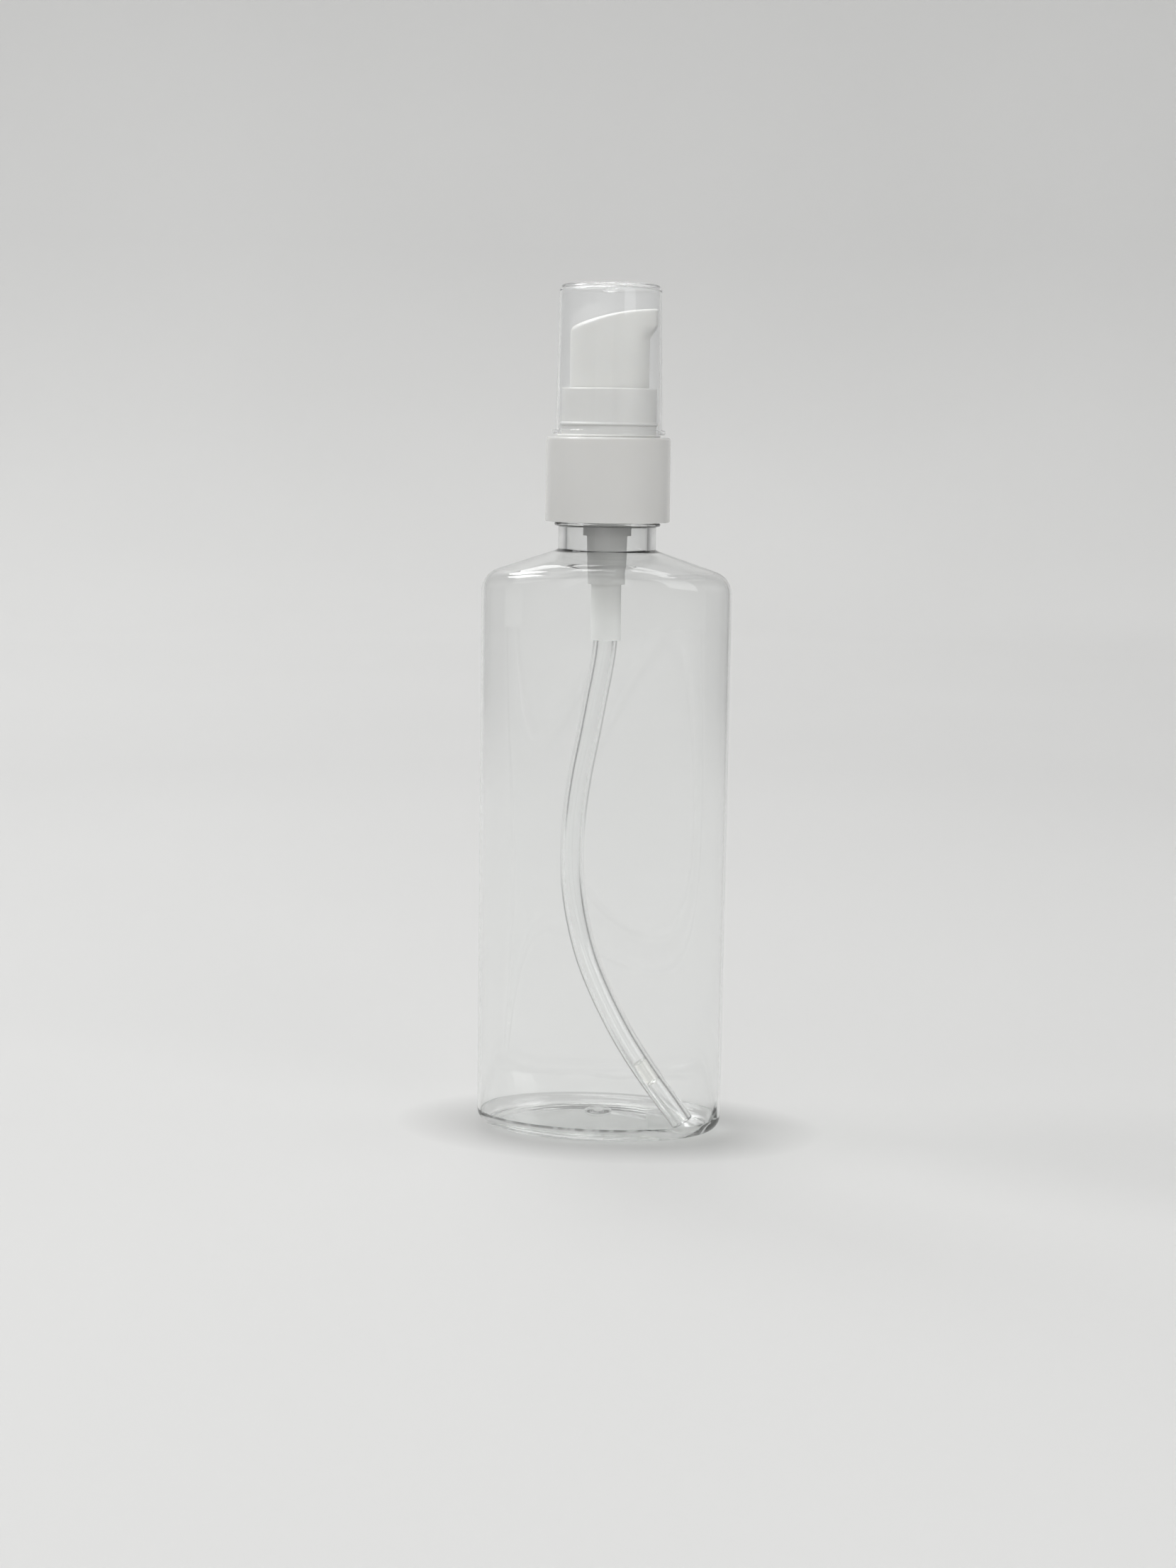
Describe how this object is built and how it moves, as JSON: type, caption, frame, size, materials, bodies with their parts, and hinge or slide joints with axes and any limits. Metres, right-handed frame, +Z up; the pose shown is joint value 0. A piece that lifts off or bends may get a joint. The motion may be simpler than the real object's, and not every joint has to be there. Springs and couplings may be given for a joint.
{
  "type": "pump oil bottle",
  "caption": "Clear flat-oval bottle with a white finger-press spout pump, curved dip tube and clear push-on overcap.",
  "frame": {"origin": "middle of the neck axis, on the plane the bottle stands on", "axes": "+Z up along the neck and pump axis, +X along the wide side of the body towards the spout's orifice, +Y through the thickness of the body towards the back"},
  "size_m": [0.0556, 0.0316, 0.188],
  "materials": {
    "clear_pet": "clear, glossy",
    "white_closure": "white moulded polypropylene, smooth satin gloss",
    "white_collar": "white moulded polypropylene",
    "white_head": "white moulded polypropylene, fine satin",
    "clear_cap": "clear moulded polypropylene, faintly milky",
    "natural_pump": "natural polypropylene, translucent",
    "clear_tube": "translucent polyethylene",
    "soft_seal": "soft polyethylene washer",
    "soft_piston": "soft polyethylene",
    "inner_plastic": "white moulded polypropylene",
    "spring_steel": "drawn stainless wire",
    "ball_steel": "polished stainless"
  },
  "bodies": {
    "bottle": {"bottle": "clear_pet"},
    "pump": {"housing": "natural_pump", "collar_ring": "white_collar", "neck_gasket": "soft_seal", "stem_seal": "soft_seal", "dip_tube": "clear_tube", "return_spring": "spring_steel"},
    "closure": {"closure": "white_closure"},
    "inlet_ball": {"inlet_ball": "ball_steel"},
    "plunger": {"stem": "inner_plastic", "valve_rod": "inner_plastic"},
    "piston": {"piston": "soft_piston"},
    "actuator": {"actuator": "white_head"},
    "overcap": {"overcap": "clear_cap"}
  },
  "joints": [
    {"name": "pump_lift", "type": "slide", "parent": "bottle", "child": "pump", "axis": [0, 0, 1], "range_m": [0, 0.0048]},
    {"name": "closure_turn", "type": "hinge", "parent": "pump", "child": "closure", "pos_m": [0, 0, 0.146], "axis": [0, 0, 1], "range_deg": [0, 540]},
    {"name": "press", "type": "slide", "parent": "pump", "child": "plunger", "axis": [0, 0, -1], "range_m": [0, 0.0045], "stiffness_N_per_m": 1200, "deforming": ["return_spring"]},
    {"name": "piston_slip", "type": "slide", "parent": "plunger", "child": "piston", "axis": [0, 0, 1], "range_m": [0, 0.0006]},
    {"name": "spout_swivel", "type": "hinge", "parent": "plunger", "child": "actuator", "pos_m": [0, 0, 0.17], "axis": [0, 0, 1], "continuous": true},
    {"name": "ball_lift", "type": "slide", "parent": "pump", "child": "inlet_ball", "axis": [0, 0, 1], "range_m": [0, 0.0017]},
    {"name": "overcap_lift", "type": "slide", "parent": "pump", "child": "overcap", "axis": [0, 0, 1], "range_m": [0, 0.045]}
  ],
  "couplings": [
    {"joint": "pump_lift", "follows": "closure_turn", "m_per_rad": 0.00050532}
  ]
}
